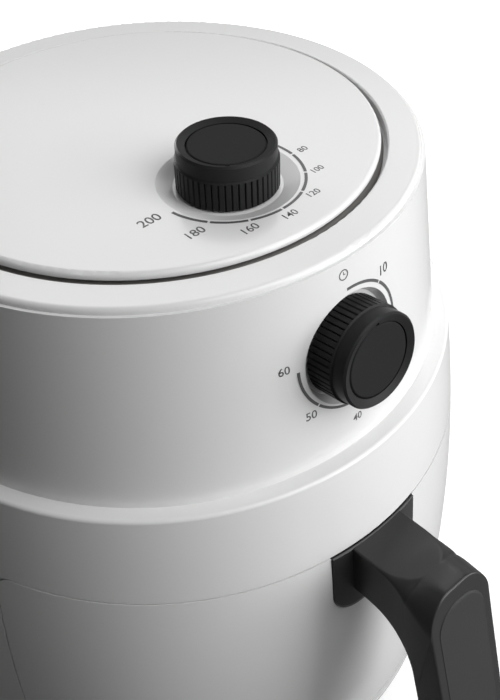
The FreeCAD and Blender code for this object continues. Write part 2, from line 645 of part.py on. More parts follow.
def build_fan(name, radius, low, tall, blades, pitch):
    """A plate with blades under it, on a hub bored for the motor shaft."""
    body = new_body(name)
    revolve(body, outline(sketch_on(body, "XZ_Plane"), [
        ("shaft_r + slip", low), ("shaft_r + 5", low), ("shaft_r + 6", low + " + 2"),
        ("shaft_r + 6", "%s + %s - 1.4" % (low, tall)), (radius, "%s + %s - 1.4" % (low, tall)),
        (radius, "%s + %s" % (low, tall)), ("shaft_r + slip", "%s + %s" % (low, tall))]))
    vane = sketch_on(body, "XY_Plane", low + " + 1")
    root, tip = "shaft_r + 9", radius + " - 1"
    outline(vane, [
        (root, "0"), (tip, pitch, radius, 1), (tip, pitch + " + 1.4"), (root, "1.5")])
    blade = pad(body, vane, tall + " - 2")
    polar(body, blade, blades)
    node(put(body), name)


def build_drive():
    build_fan("convection_fan", "fan_r", "fan_z", "fan_tall", "8", "-12")
    build_fan("cooling_fan", "blower_r", "blower_z", "blower_tall", "9", "-10")
    low, top = "fan_z - 7", "motor_z + motor_tall + 9"
    rod = cylinder("motor_shaft", "shaft_r", "%s - (%s)" % (top, low), z=low)
    node(rod, "motor_shaft")

    nut = new_body("fan_nut")
    flats = sketch_on(nut, "XY_Plane", "fan_z - 5")
    hexagon = []
    for x, y in around_axis("(shaft_r * 2)", 6, 0):
        hexagon.append((x, y))
    outline(flats, hexagon)
    circle(flats, "0", "0", "shaft_r + slip")
    pad(nut, flats, "5")
    node(put(nut), "fan_nut")

    motor = new_body("motor")
    bore = "shaft_r + slip"
    revolve(motor, outline(sketch_on(motor, "XZ_Plane"), [
        (bore, "motor_z"), ("motor_r - 3", "motor_z"), ("motor_r", "motor_z + 3"),
        ("motor_r", "motor_z + 10"), ("motor_r + 4", "motor_z + 10"), ("motor_r + 4", "motor_z + 24"),
        ("motor_r", "motor_z + 24"), ("motor_r", "motor_z + motor_tall - 4"),
        ("motor_r - 4", "motor_z + motor_tall"), ("shaft_r + 7", "motor_z + motor_tall"),
        ("shaft_r + 7", "motor_z + motor_tall + 5"), (bore, "motor_z + motor_tall + 5")]))
    slot = sketch_on(motor, "XY_Plane", "motor_z + motor_tall")
    outline(slot, [("15", "-1.5"), ("27", "-1.5", "half", 1), ("27", "1.5"), ("15", "1.5", "half", 1)])
    vent = pocket(motor, slot, "5")
    polar(motor, vent, "10")
    node(put(motor), "motor")

    bracket = new_body("motor_bracket")
    plate = sketch_on(bracket, "XY_Plane", "motor_z - bracket_sheet")
    circle(plate, "0", "0", "bracket_r")
    circle(plate, "0", "0", "shaft_r + 6")
    pad(bracket, plate, "bracket_sheet")
    legs = sketch_on(bracket, "XY_Plane", "dome_top")
    for x, y in around_axis("leg_ring_r", 4):
        circle(legs, x, y, "leg_r")
    pad(bracket, legs, "motor_z - bracket_sheet - dome_top")
    window = sketch_on(bracket, "XY_Plane", "motor_z")
    outline(window, [("44", "-13"), ("56", "-10"), ("56", "10"), ("44", "13")])
    opening = pocket(bracket, window, "bracket_sheet + 1")
    polar(bracket, opening, "4")
    holes = sketch_on(bracket, "XY_Plane", "motor_z")
    for x, y in around_axis("leg_ring_r", 4):
        circle(holes, x, y, "screw_r + slip")
    pocket(bracket, holes, "bracket_screw_long + 1")
    node(put(bracket), "motor_bracket")
    screws = []
    for x, y in around_axis("leg_ring_r", 4):
        head = cylinder("head", "screw_head_r", "screw_head_tall", x, y, "motor_z")
        shank = cylinder("shank", "screw_r", "bracket_screw_long", x, y,
                         "motor_z - bracket_screw_long")
        screws.append(joined("bracket_screw", [head, shank]))
    gathered("bracket_screws", screws)


def build_knob(name, where, pointer):
    """A ribbed knob with a smooth band, a sunk cap and a pointer dimple; z is out of its seat."""
    body = new_body(name + "_knob")
    low, top = "knob_gap - dish_deep", "knob_tall"
    bore = "spindle_r + slip"
    revolve(body, outline(sketch_on(body, "XZ_Plane"), [
        (bore, low), ("knob_r - 0.5", low), ("knob_r", low + " + 0.5"), ("knob_r", "knob_rib_tall"),
        ("knob_upper_r", "knob_rib_tall + 0.5"), ("knob_upper_r", top + " - 0.8"),
        ("knob_upper_r - 0.8", top), ("knob_cap_r + 0.4", top + " - 1.2"),
        ("knob_cap_r + 0.4", top + " - 2.6"), ("0", top + " - 2.6"), ("0", "10"), (bore, "10")]))
    notch = sketch_on(body, "XY_Plane", low + " - 1")
    outline(notch, [("knob_r + 0.5", "-0.75"), ("knob_r + 0.5", "0.75"), ("knob_r - knob_rib_deep", "0")])
    flute = pocket(body, notch, "knob_rib_tall + 1 - (%s)" % low, along=True)
    polar(body, flute, "knob_ribs")
    mark = sketch_on(body, "XY_Plane", top)
    circle(mark, "0", "%s(knob_cap_r + 0.4 + dimple_r / 2)" % pointer, "dimple_r")
    pocket(body, mark, "2")
    node(put(body, **where), name + "_knob")
    cap = new_body(name + "_cap")
    revolve(cap, outline(sketch_on(cap, "XZ_Plane"), [
        ("0", top + " - 2.6"), ("knob_cap_r", top + " - 2.6"), ("knob_cap_r", top + " - 1.6"),
        ("knob_cap_r - 0.5", top + " - 1.1"), ("0", top + " - 1.1")]))
    node(put(cap, **where), name + "_knob_cap")
    rod = new_body(name + "_spindle")
    stem = sketch_on(rod, "XY_Plane", "-boss_deep - 14")
    circle(stem, "0", "0", "spindle_r")
    pad(rod, stem, "boss_deep + 14 + 9.7")
    node(put(rod, **where), name + "_spindle")


def build_control(name, where, half_wide, half_tall, deep, back):
    """The switch case behind a dial, with a bush that comes up through the shell's bore."""
    body = new_body(name)
    case = sketch_on(body, "XY_Plane", "-(%s) - (%s)" % (back, deep))
    rounded(case, half_wide, "-(%s)" % half_tall, half_tall, "3")
    pad(body, case, deep)
    bush = sketch_on(body, "XY_Plane", "-(%s) - 1" % back)
    circle(bush, "0", "0", "spindle_r + 1.8")
    pad(body, bush, "%s + 1 - dish_deep - rest_gap" % back)
    bore = sketch_on(body, "XY_Plane")
    circle(bore, "0", "0", "spindle_r + slip")
    pocket(body, bore, "boss_deep + 16")
    node(put(body, **where), name)


def build_dials():
    top_seat = {"y": "-dial_y", "z": COVER_Z}
    front_seat = dict(timer_point("timer_sunk"), turn=TIMER_TURN)
    build_knob("temperature", dict(top_seat, turn="dial_rest", about=(0, 0, 1)), "-")
    build_knob("timer", front_seat, "")
    build_control("thermostat", top_seat, "stat_half", "stat_half", "stat_deep", "boss_deep")
    build_control("timer_clock", front_seat, "clock_half", "clock_half - 3", "clock_deep", "clock_back")
    bell = new_body("timer_bell")
    foot = "-clock_back - clock_deep"
    crown = foot + " - bell_tall"
    revolve(bell, outline(sketch_on(bell, "XZ_Plane"), [
        ("0", foot), ("bell_stem_r", foot), ("bell_stem_r", crown + " + 0.4 * bell_tall"),
        ("bell_r", crown + " + 0.8 * bell_tall", "bell_arc", 1),
        ("bell_r - 2 * bell_stem_r", crown), ("0", crown)]))
    node(put(bell, **front_seat), "timer_bell")


def build_switch():
    box = new_body("interlock_switch")
    case = sketch_on(box, "XZ_Plane", "-(liner_w + 0.2)")
    rounded(case, "switch_half", "switch_z - switch_half", "switch_z + switch_half", "2")
    pad(box, case, "switch_deep", back=True)
    hole = sketch_on(box, "XZ_Plane")
    circle(hole, "0", "switch_z", "plunger_r + slip")
    pocket(box, hole, "liner_w + switch_deep - 2")
    node(put(box), "interlock_switch")
    pin_body = new_body("interlock_plunger")
    nose = sketch_on(pin_body, "XZ_Plane", "-(pan_r + pan_lip + rest_gap)")
    circle(nose, "0", "switch_z", "plunger_r")
    raised = pad(pin_body, nose, "10", back=True)
    rounding(pin_body, raised, "1", lambda edge: edge.CenterOfMass.y < value("pan_r + pan_lip + 1"))
    node(put(pin_body), "interlock_plunger")


def build_drawer():
    front = wall_patch("drawer_front", "0", "front_wall", "YZ_Plane", lambda sketch: mouth(sketch, "seam"))
    notch = sketch_on(front, "XZ_Plane")
    tongue(notch, "rest_gap")
    pocket(front, notch, along=True)
    node(put(front), "drawer_front")

    pan = new_body("pan")
    under = "pan_top - pan_wall"
    revolve(pan, outline(sketch_on(pan, "XZ_Plane"), [
        ("0", "pan_low"), ("pan_low_r - pan_round", "pan_low", "pan_round", 1),
        ("pan_low_r", "pan_low + pan_round"), ("pan_r", under), ("pan_r + pan_lip", under),
        ("pan_r + pan_lip", "pan_top"), ("pan_r - pan_wall", "pan_top"),
        ("pan_low_r - pan_wall", "pan_low + pan_round", "pan_round - pan_wall", -1),
        ("pan_low_r - pan_round", "pan_low + pan_wall"), ("0", "pan_low + pan_wall")]))
    node(put(pan), "pan")

    bracket = new_body("pan_bracket")
    bend = "-arm_root + bracket_sheet"
    inner_end = "-pan_r - 1"
    angle = outline(sketch_on(bracket, "YZ_Plane"), [
        ("-arm_root", under + " - bracket_sheet"), (inner_end, under + " - bracket_sheet"),
        (inner_end, under), (bend, under), (bend, "arm_top - 2"), ("-arm_root", "arm_top - 2")])
    pad(bracket, angle, "arm_w - 3", both=True)
    holes = sketch_on(bracket, "XZ_Plane")
    for x in SCREW_X:
        circle(holes, x, SCREW_Z, "screw_r + slip")
    pocket(bracket, holes, along=True)
    node(put(bracket), "pan_bracket")
    screws = []
    for x in SCREW_X:
        head = cylinder("head", "screw_head_r", "screw_head_tall", x,
                        bend + " + screw_head_tall", SCREW_Z, "90")
        shank = cylinder("shank", "screw_r", "handle_screw_long", x, bend, SCREW_Z, "90")
        screws.append(joined("handle_screw", [head, shank]))
    gathered("handle_screws", screws)


def build_handle():
    body = wall_patch("handle", "proud", "front_wall", "XZ_Plane", lambda sketch: tongue(sketch, "0"))
    corners = {
        "hand": ("-hand_y", "arm_low"),
        "heel": ("-handle_reach + grip_deep - 2", "grip_low - 2"),
        "toe": ("-handle_reach", "grip_low"),
        "shin": ("-handle_reach", "grip_low + grip_toe"),
        "brow": ("-elbow_y", "elbow_z"),
        "crease": ("-elbow_y + elbow_run", "arm_top")}
    side = [("-arm_root", "arm_low")] + list(corners.values()) + [("-arm_root", "arm_top")]
    arm = pad(body, outline(sketch_on(body, "YZ_Plane"), side), "arm_w", both=True)

    def corner_edge(name):
        y, z = (value(text) for text in corners[name])

        def wanted(edge):
            points = [vertex.Point for vertex in edge.Vertexes]
            return len(points) == 2 and all(abs(p.y - y) < 0.05 and abs(p.z - z) < 0.05 for p in points)
        return wanted

    for name, radius in (("hand", "min(hand_round, hand_room)"), ("heel", "toe_round"), ("toe", "toe_round"),
                         ("shin", "2 * grip_toe"), ("crease", "min(elbow_round, 8 * crease_room)")):
        arm = rounding(body, arm, radius, corner_edge(name))

    wide = value("arm_w / 2")
    lean = value("grip_slope")

    def outside(edge):
        return all(abs(abs(v.Point.x) - wide) < 0.05 and v.Point.y < -value(wall_at("arm_low"))
                   for v in edge.Vertexes)

    def face_depth(point):
        """How far a point lies behind the grip's front face, along y."""
        return point.y + value("elbow_y") + (value("elbow_z") - point.z) * lean

    def top_side(edge):
        return outside(edge) and edge.CenterOfMass.z > value("elbow_z - 0.5") and len(edge.Vertexes) == 2

    def face_rim(edge):
        low = value("grip_low + 2 * grip_toe")
        spots = [v.Point for v in edge.Vertexes] + [edge.CenterOfMass]
        return all(abs(face_depth(p)) < 0.6 for p in spots) and edge.CenterOfMass.z > low

    # the second rounding runs on from the front face's rim round the whole grip
    arm = rounding(body, arm, "arm_round", top_side)
    arm = rounding(body, arm, "grip_edge", face_rim)
    flat = sketch_on(body, "XY_Plane", "arm_top - flat_deep")
    rounded(flat, "flat_half", "elbow_run - elbow_y", "-arm_root", "flat_round")
    pad(body, flat, "flat_deep")
    seat = sketch_on(body, "XZ_Plane", "elbow_y", "elbow_z", "-(%s)" % GRIP_LEAN)
    rounded(seat, "arm_w / 2 - frame_w", "-frame_w - insert_long", "-frame_w", "insert_round")
    pocket(body, seat, "insert_deep")
    holes = sketch_on(body, "XZ_Plane")
    for x in SCREW_X:
        circle(holes, x, SCREW_Z, "screw_r + slip")
    pocket(body, holes, "arm_root + handle_screw_long", along=True)
    node(put(body), "handle")

    panel = new_body("handle_insert")
    face = sketch_on(panel, "XZ_Plane", "elbow_y", "elbow_z", "-(%s)" % GRIP_LEAN)
    rounded(face, "arm_w / 2 - frame_w - rest_gap", "-frame_w - insert_long + rest_gap",
            "-frame_w - rest_gap", "insert_round - rest_gap")
    pad(panel, face, "insert_deep", back=True)
    skim = sketch_on(panel, "XZ_Plane", "elbow_y", "elbow_z", "-(%s)" % GRIP_LEAN)
    rectangle(skim, "-arm_w", "arm_w", "-2 * insert_long", "0")
    pocket(panel, skim, "insert_sunk")
    node(put(panel), "handle_insert")


def build_tray():
    plate = new_body("crisper_plate")
    brim = "tray_z + tray_lip"
    revolve(plate, outline(sketch_on(plate, "XZ_Plane"), [
        ("0", "tray_z"), ("tray_r", "tray_z"), ("tray_r", brim), ("tray_r - 1.6", brim),
        ("tray_r - 2.4", "tray_z + tray_sheet"), ("0", "tray_z + tray_sheet")]))
    for index, count in enumerate(("8", "14", "20")):
        drill = sketch_on(plate, "XY_Plane", "tray_z + tray_sheet")
        middle = "slot_first_r + %d * slot_pitch" % index
        near, far = middle + " - slot_half", middle + " + slot_half"
        outline(drill, [(near, "-slot_side"), (far, "-slot_side", "half", 1),
                        (far, "slot_side"), (near, "slot_side", "half", 1)])
        slot = pocket(plate, drill, "tray_sheet + 1")
        polar(plate, slot, count)
    node(put(plate), "crisper_plate")
    floor = "pan_low + pan_wall + rest_gap"
    feet = [cylinder("tray_foot", "tray_foot_r", "tray_z - (%s)" % floor, x, y, floor)
            for x, y in around_axis("tray_foot_ring_r", 4)]
    gathered("crisper_feet", feet)
    loop = doc.addObject("Part::Torus", "crisper_loop")
    bind(loop, Radius1="loop_r", Radius2="loop_wire_r")
    loop.Angle3 = 180
    put(loop, z="tray_z + tray_sheet", turn="90")
    node(loop, "crisper_loop")


def finish():
    doc.recompute()
    bad = [item.Label for item in doc.Objects if "Invalid" in item.State or "Error" in item.State]
    if bad:
        raise RuntimeError("not built: " + ", ".join(bad))
    os.makedirs("parts", exist_ok=True)
    for item in nodes:
        shape = item.Shape
        if shape.isNull() or not shape.isValid() or not shape.Solids:
            raise RuntimeError("bad shape: " + item.Label)
        shape.exportStep("parts/%s.step" % item.Label)
        print(item.Label, len(shape.Solids), round(shape.Volume / 1000, 2), shape.BoundBox)


build_base_cover()
build_feet_and_screws()
build_lower_housing()
build_rear_panel()
build_upper_housing()
build_top_cover()
build_chamber()
build_heater()
build_drive()
build_dials()
build_switch()
build_drawer()
build_handle()
build_tray()
finish()
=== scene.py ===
import math

import bmesh
import bpy
from mathutils import Matrix, Vector


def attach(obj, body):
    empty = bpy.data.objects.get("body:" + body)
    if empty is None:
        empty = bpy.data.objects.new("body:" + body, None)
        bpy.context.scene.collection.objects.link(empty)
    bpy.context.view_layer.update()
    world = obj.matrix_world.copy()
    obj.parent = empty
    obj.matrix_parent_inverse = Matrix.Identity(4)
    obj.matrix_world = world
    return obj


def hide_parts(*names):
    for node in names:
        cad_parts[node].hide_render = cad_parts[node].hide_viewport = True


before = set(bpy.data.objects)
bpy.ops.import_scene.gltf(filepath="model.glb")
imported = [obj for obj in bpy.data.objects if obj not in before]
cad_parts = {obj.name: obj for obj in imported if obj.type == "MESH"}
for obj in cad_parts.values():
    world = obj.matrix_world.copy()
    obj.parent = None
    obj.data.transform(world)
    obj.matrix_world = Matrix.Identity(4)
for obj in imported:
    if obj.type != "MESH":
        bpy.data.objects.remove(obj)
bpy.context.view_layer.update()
scene = bpy.context.scene

# The body's own axis and the main levels, in metres, as the solids have them.
AXIS_Y = 0.0333055
COVER_Z = 0.308
RIM_Z = 0.306
RIM_R = 0.115
LEDGE_Z = 0.219
LEDGE_IN_R = 0.126
DIAL_Y = AXIS_Y - 0.052
TIMER_Z = 0.265
CONE_SLOPE = (LEDGE_IN_R - RIM_R) / (RIM_Z - LEDGE_Z)
WALL_LEAN = math.atan(CONE_SLOPE)

# The dials' print in metres: each ring's radius and middle, its marks in degrees clockwise from the top
# of its dial, and where each number's middle lies to the right of and above the dial's axis, with the
# number's height. A third of the print's thickness is sunk in the surface. The gap at each mark and the
# steps that arcs are cut in are in degrees.
PRINT_THICK = 0.00006
PRINT_SUNK = PRINT_THICK / 3
WELD = 1e-6
RING_LINE = 0.0012
RING_GAP = 0.9
TEMPERATURE_RING = (0.0303, 0.0004, 0.0007)
TEMPERATURE_MARKS = (72, 99.8, 127.2, 153.2, 179.3, 206, 234.3, 264.4)
TEMPERATURE_NUMBERS = (
    ("80", 0.0359, -0.0044, 0.0032), ("100", 0.0296, -0.0191, 0.0030), ("120", 0.0166, -0.0299, 0.0031),
    ("140", 0.0005, -0.0340, 0.0034), ("160", -0.0161, -0.0305, 0.0038), ("180", -0.0318, -0.0185, 0.0042),
    ("200", -0.0390, -0.0009, 0.0046))
TIMER_RING = (0.0257, -0.0003, 0.0008)
TIMER_MARKS = (-3, 40.8, 87, 133.2, 179.4, 225.6, 272.8)
TIMER_NUMBERS = (
    ("10", 0.0201, 0.0241, 0.0043), ("20", 0.0292, -0.0040, 0.0036), ("30", 0.0232, -0.0220, 0.0036),
    ("40", 0.0000, -0.0338, 0.0034), ("50", -0.0223, -0.0205, 0.0038), ("60", -0.0316, 0.0046, 0.0036))
TIMER_START = (-0.0025, 0.0333)
CLOCK_R, CLOCK_LINE, HAND_LINE = 0.0020, 0.00042, 0.00034
CLOCK_HANDS = ((0.0012, 0), (0.0009, 90))
NUMBER_WEIGHT, NUMBER_CURVE = 0.006, 4
ARC_STEP, ARC_LEAST = 2, 2

# A dark grey ring of painted shade in the groove, standing for the shadowed gap under the cover's lip: its
# section's distance from the axis and height.
GROOVE_SHADE_SECTION = ((0.0935, 0.3012), (0.0985, 0.3012), (0.0985, 0.3026), (0.0935, 0.3040))
GROOVE_SHADE_STEPS = 160

# The handle in metres: out is the distance in front of the body's axis. The arm's flat top runs out to
# the round end of a tongue, where the edges turn into a crown that ends as the arch of the grip's face.
WALL_ARC, WALL_MID_OUT, WALL_MID_Z = 0.8290417, -0.6860329, 0.0905667
PLATE_HALF, PLATE_LOW, PLATE_TOP, PLATE_ROUND, PLATE_PROUD = 0.0250, 0.1370, 0.1741, 0.0120, 0.0010
ARM_OUT, ARM_Z, ARM_HALF = 0.1380, 0.1740, 0.0150
TONGUE_START, TONGUE_END, RISE_START = 0.1530, 0.1690, 0.1560
BROW_OUT, BROW_Z, BROW_SOFT, FACE_SLOPE, FACE_HALF = 0.1813, 0.1776, 0.0009, 0.2826, 0.0185
CROWN_ROUND, CROWN_DEEP, ARCH_DEEP, EDGE_ROUND = 0.0138, 0.0078, 0.0155, 0.0010
HAND_OUT, HAND_Z, HAND_ROUND = 0.1738, 0.1480, 0.0250
SHIN_Z, TOE_OUT, TOE_Z, TOE_ROUND = 0.0760, 0.2039, 0.0680, 0.0060
PANEL_HALF, PANEL_TOP, PANEL_LOW, PANEL_ROUND, PANEL_PROUD = 0.0138, 0.1705, 0.0880, 0.0123, 0.0002
PANEL_ARCH, PANEL_SUNK = 0.9 * PANEL_ROUND, 0.0010
ROOT_BACK, HAND_CORNER, TONGUE_BLUNT = 0.0020, CROWN_ROUND - 0.0030, 0.75

# The handle's mesh: slices across it, the share of them that lies flat, rows along each piece, and the
# shares of the grip's rows at which its arm, brow and face end, the face's edges are fully rounded, and
# the inner side starts to flare and to bend.
SLICES, FLAT_SHARE = 48, 0.25
GRIP_ROWS, PLATE_ROWS, PANEL_ROWS = 100, 24, 40
ARM_END, BROW_END, FACE_END = 0.60, 0.66, 0.90
EDGE_FULL, FLARE_START, BEND_START = 0.70, 0.10, 0.20

# The patterns of the finishes: how fine and how detailed the mottle and skin of plastic and the lines of
# metal are, how deep the skin is in metres, and how far the lines change the gloss.
MOTTLE_FINE, MOTTLE_DETAIL, SKIN_DETAIL, SKIN_DEEP = 22, 3, 4, 0.0004
LINES_FINE, LINES_DETAIL, LINES_GLOSS = 60, 5, 0.08

# The floor: its half width in metres, how far out it starts and ends to fade to white, how bright it is
# before that, where 1 is white, and its finish. It throws light back up as if it were FLOOR_BOUNCE.
FLOOR_HALF, FLOOR_FADE, FLOOR_LIFT = 6.0, (0.5, 2.2), 0.3
FLOOR_PALE, FLOOR_ROUGH, FLOOR_SHINE = (0.9, 0.9, 0.9), 0.9, 0.1
FLOOR_BOUNCE = (0.08, 0.08, 0.08)

# The room: the share of its white that gloss mirrors, and the light it gives, which rises from dim, at
# ROOM_DIM_END along the direction ROOM_PALE_TOWARD, to pale.
ROOM_MIRRORED = 0.2
ROOM_DIM, ROOM_PALE, ROOM_DIM_END = 0.005, 0.04, -0.6
ROOM_PALE_TOWARD = Vector((0.8, -0.2, 0.55)).normalized()

# The studio's softboxes, all at LAMP_AWAY from the body's middle: azimuth from the front to the right
# and elevation in degrees, width in metres, and how bright a wall that faces the lamp gets.
LAMP_AWAY, BODY_MIDDLE = 2.0, 0.2
SOFTBOXES = {
    "high_softbox": (23, 48, 1.6, 0.73),
    "low_softbox": (25, 8, 1.0, 0.48),
    "right_softbox": (52, 8, 1.0, 0.30),
    "side_softbox": (105, 20, 1.2, 0.07),
    "rear_softbox": (139, 45, 1.2, 0.27),
    "back_softbox": (178, 8, 1.0, 0.55),
}

# The photograph's frame, and the camera fitted to the circles of the body.
IMAGE_W, IMAGE_H = 500.0, 700.0
SENSOR_TALL, NEAR_CLIP = 36.0, 0.01
FOCAL_PX = 1000.0
CENTRE_PX = (250.0, 341.0)
VIEW_AZIMUTH = math.radians(-41.08)
VIEW_DOWN = math.radians(41.27)
VIEW_ROLL = math.radians(-2.05)
CAMERA_AT = Vector((-0.2121, AXIS_Y - 0.3049, RIM_Z + 0.2084))


def add_camera():
    """The photograph's viewpoint."""
    forward = Vector((-math.sin(VIEW_AZIMUTH) * math.cos(VIEW_DOWN),
                      math.cos(VIEW_AZIMUTH) * math.cos(VIEW_DOWN), -math.sin(VIEW_DOWN)))
    level = forward.cross(Vector((0, 0, 1))).normalized()
    upright = level.cross(forward).normalized()
    right = level * math.cos(VIEW_ROLL) + upright * math.sin(VIEW_ROLL)
    up = right.cross(forward)
    data = bpy.data.cameras.new("photo_camera")
    data.sensor_fit = "VERTICAL"
    data.sensor_height = SENSOR_TALL
    data.lens = SENSOR_TALL * FOCAL_PX / IMAGE_H
    data.shift_x = (IMAGE_W / 2 - CENTRE_PX[0]) / IMAGE_H
    data.shift_y = (CENTRE_PX[1] - IMAGE_H / 2) / IMAGE_H
    data.clip_start = NEAR_CLIP
    camera = bpy.data.objects.new("photo_camera", data)
    turn = Matrix((right, up, -forward)).transposed().to_4x4()
    camera.matrix_world = Matrix.Translation(CAMERA_AT) @ turn
    scene.collection.objects.link(camera)
    scene.camera = camera


def new_material(name):
    """A material with its nodes, its links and its shader."""
    material = bpy.data.materials.new(name)
    material.use_nodes = True
    nodes = material.node_tree.nodes
    return material, nodes, material.node_tree.links, nodes["Principled BSDF"]


def noise(nodes, links, vector, fine, detail):
    """A cloudy pattern, laid out by vector."""
    pattern = nodes.new("ShaderNodeTexNoise")
    pattern.inputs["Scale"].default_value = fine
    pattern.inputs["Detail"].default_value = detail
    links.new(vector, pattern.inputs["Vector"])
    return pattern.outputs["Fac"]


def two_tones(nodes, links, shader, pattern, pale, dark):
    """Let the colour follow a pattern from dark to pale."""
    tone = nodes.new("ShaderNodeMix")
    tone.data_type = "RGBA"
    tone.inputs["A"].default_value = (*dark, 1)
    tone.inputs["B"].default_value = (*pale, 1)
    links.new(pattern, tone.inputs["Factor"])
    links.new(tone.outputs["Result"], shader.inputs["Base Color"])


def uneven_gloss(nodes, links, shader, pattern, roughness, change):
    """Let the roughness follow a pattern, by as much as change either way."""
    gloss = nodes.new("ShaderNodeMapRange")
    gloss.inputs["To Min"].default_value = roughness - change
    gloss.inputs["To Max"].default_value = roughness + change
    links.new(pattern, gloss.inputs["Value"])
    links.new(gloss.outputs["Result"], shader.inputs["Roughness"])


def moulded(name, pale, dark, roughness, grain, depth, change=0.04, specular=0.5):
    """Moulded plastic or rubber: a faint mottle of colour and gloss over a fine skin."""
    material, nodes, links, shader = new_material(name)
    place = nodes.new("ShaderNodeTexCoord").outputs["Object"]
    mottle = noise(nodes, links, place, MOTTLE_FINE, MOTTLE_DETAIL)
    two_tones(nodes, links, shader, mottle, pale, dark)
    skin = noise(nodes, links, place, grain, SKIN_DETAIL)
    uneven_gloss(nodes, links, shader, skin, roughness, change)
    bump = nodes.new("ShaderNodeBump")
    bump.inputs["Strength"].default_value = depth
    bump.inputs["Distance"].default_value = SKIN_DEEP
    links.new(skin, bump.inputs["Height"])
    links.new(bump.outputs["Normal"], shader.inputs["Normal"])
    shader.inputs["Specular IOR Level"].default_value = specular
    return material


def metal(name, pale, dark, roughness, stretch):
    """Drawn or rolled metal, with lines that lie closest along the axis where stretch is largest."""
    material, nodes, links, shader = new_material(name)
    place = nodes.new("ShaderNodeTexCoord").outputs["Object"]
    lay = nodes.new("ShaderNodeMapping")
    lay.inputs["Scale"].default_value = stretch
    links.new(place, lay.inputs["Vector"])
    lines = noise(nodes, links, lay.outputs["Vector"], LINES_FINE, LINES_DETAIL)
    two_tones(nodes, links, shader, lines, pale, dark)
    uneven_gloss(nodes, links, shader, lines, roughness, LINES_GLOSS)
    shader.inputs["Metallic"].default_value = 1.0
    return material


# The finishes: a pale and a dark tone and the roughness. Plastic and rubber add the skin's grain and
# depth, how far the gloss changes and how strongly it mirrors, and metal adds the stretch of its lines.
WHITE = moulded("gloss_white", (0.80, 0.80, 0.80), (0.785, 0.785, 0.785), 0.20, 900, 0.02, 0.03)
HANDLE_BLACK = moulded("handle_black", (0.025, 0.025, 0.025), (0.021, 0.021, 0.021), 0.32, 1400, 0.05,
                       0.04, 0.34)
KNOB_BLACK = moulded("knob_black", (0.026, 0.026, 0.027), (0.022, 0.022, 0.023), 0.36, 1400, 0.06,
                     0.04, 0.08)
PANEL_GREY = moulded("panel_grey", (0.044, 0.044, 0.045), (0.038, 0.038, 0.039), 0.5, 1600, 0.08,
                     0.04, 0.12)
CAP_BLACK = moulded("cap_black", (0.027, 0.027, 0.028), (0.023, 0.023, 0.024), 0.42, 1600, 0.06,
                    0.04, 0.02)
VENT_WHITE = moulded("vent_white", (0.74, 0.74, 0.73), (0.71, 0.71, 0.70), 0.38, 1200, 0.1)
RUBBER = moulded("foot_rubber", (0.035, 0.035, 0.035), (0.024, 0.024, 0.024), 0.78, 700, 0.3)
CONTROL = moulded("control_cream", (0.62, 0.58, 0.48), (0.56, 0.52, 0.42), 0.5, 800, 0.1)
RUNNER = moulded("runner_black", (0.03, 0.03, 0.03), (0.02, 0.02, 0.02), 0.45, 900, 0.1)
BLOWER = moulded("blower_black", (0.05, 0.05, 0.055), (0.035, 0.035, 0.04), 0.5, 900, 0.1)
PLUNGER = moulded("plunger_red", (0.50, 0.07, 0.04), (0.42, 0.05, 0.03), 0.4, 900, 0.05)
CERAMIC = moulded("insulator_ceramic", (0.78, 0.75, 0.68), (0.70, 0.67, 0.60), 0.6, 500, 0.2)
NON_STICK = moulded("non_stick", (0.05, 0.05, 0.05), (0.022, 0.022, 0.022), 0.48, 2200, 0.25, 0.08)
LINER = metal("liner_steel", (0.56, 0.56, 0.57), (0.42, 0.42, 0.43), 0.34, (1, 1, 30))
SHEET = metal("zinc_sheet", (0.60, 0.60, 0.62), (0.46, 0.46, 0.48), 0.36, (20, 1, 1))
ZINC = metal("zinc_screw", (0.66, 0.66, 0.68), (0.50, 0.50, 0.52), 0.30, (6, 6, 1))
WIRE = metal("bright_wire", (0.72, 0.72, 0.73), (0.60, 0.60, 0.61), 0.18, (8, 8, 8))
HEATER = metal("oxidised_heater", (0.20, 0.17, 0.15), (0.09, 0.08, 0.075), 0.5, (10, 10, 10))
MOTOR = metal("motor_steel", (0.42, 0.43, 0.45), (0.30, 0.31, 0.33), 0.4, (1, 1, 25))
SHAFT = metal("ground_steel", (0.68, 0.68, 0.69), (0.55, 0.55, 0.56), 0.22, (1, 1, 40))
FAN = metal("rolled_aluminium", (0.74, 0.74, 0.75), (0.62, 0.62, 0.63), 0.3, (25, 1, 1))
# The dark grey of the ring in the groove is painted shade for the shadowed gap under the top cover's lip.
PAINTED_GROOVE_SHADE = moulded("painted_groove_shade_grey", (0.215, 0.205, 0.195), (0.165, 0.158, 0.150), 0.6, 700, 0.2)
PRINT_GREY = moulded("dial_print", (0.098, 0.098, 0.100), (0.085, 0.085, 0.087), 0.45, 1500, 0.05)

FINISHES = {
    WHITE: ("base_cover", "lower_housing", "upper_housing", "top_cover", "drawer_front"),
    HANDLE_BLACK: ("handle",),
    KNOB_BLACK: ("temperature_knob", "timer_knob"),
    PANEL_GREY: ("handle_insert",),
    CAP_BLACK: ("temperature_knob_cap", "timer_knob_cap"),
    VENT_WHITE: ("rear_panel",),
    RUBBER: ("feet", "cord_gland", "crisper_feet"),
    CONTROL: ("thermostat", "timer_clock", "interlock_switch"),
    RUNNER: ("drawer_runners",),
    BLOWER: ("cooling_fan",),
    PLUNGER: ("interlock_plunger",),
    CERAMIC: ("heater_insulators",),
    NON_STICK: ("pan", "crisper_plate"),
    LINER: ("chamber_liner", "air_dome"),
    SHEET: ("motor_bracket", "pan_bracket"),
    ZINC: ("base_screws", "bracket_screws", "handle_screws", "fan_nut"),
    WIRE: ("heater_guard", "crisper_loop", "timer_bell"),
    HEATER: ("heater_element",),
    MOTOR: ("motor",),
    SHAFT: ("motor_shaft", "temperature_spindle", "timer_spindle"),
    FAN: ("convection_fan",),
}


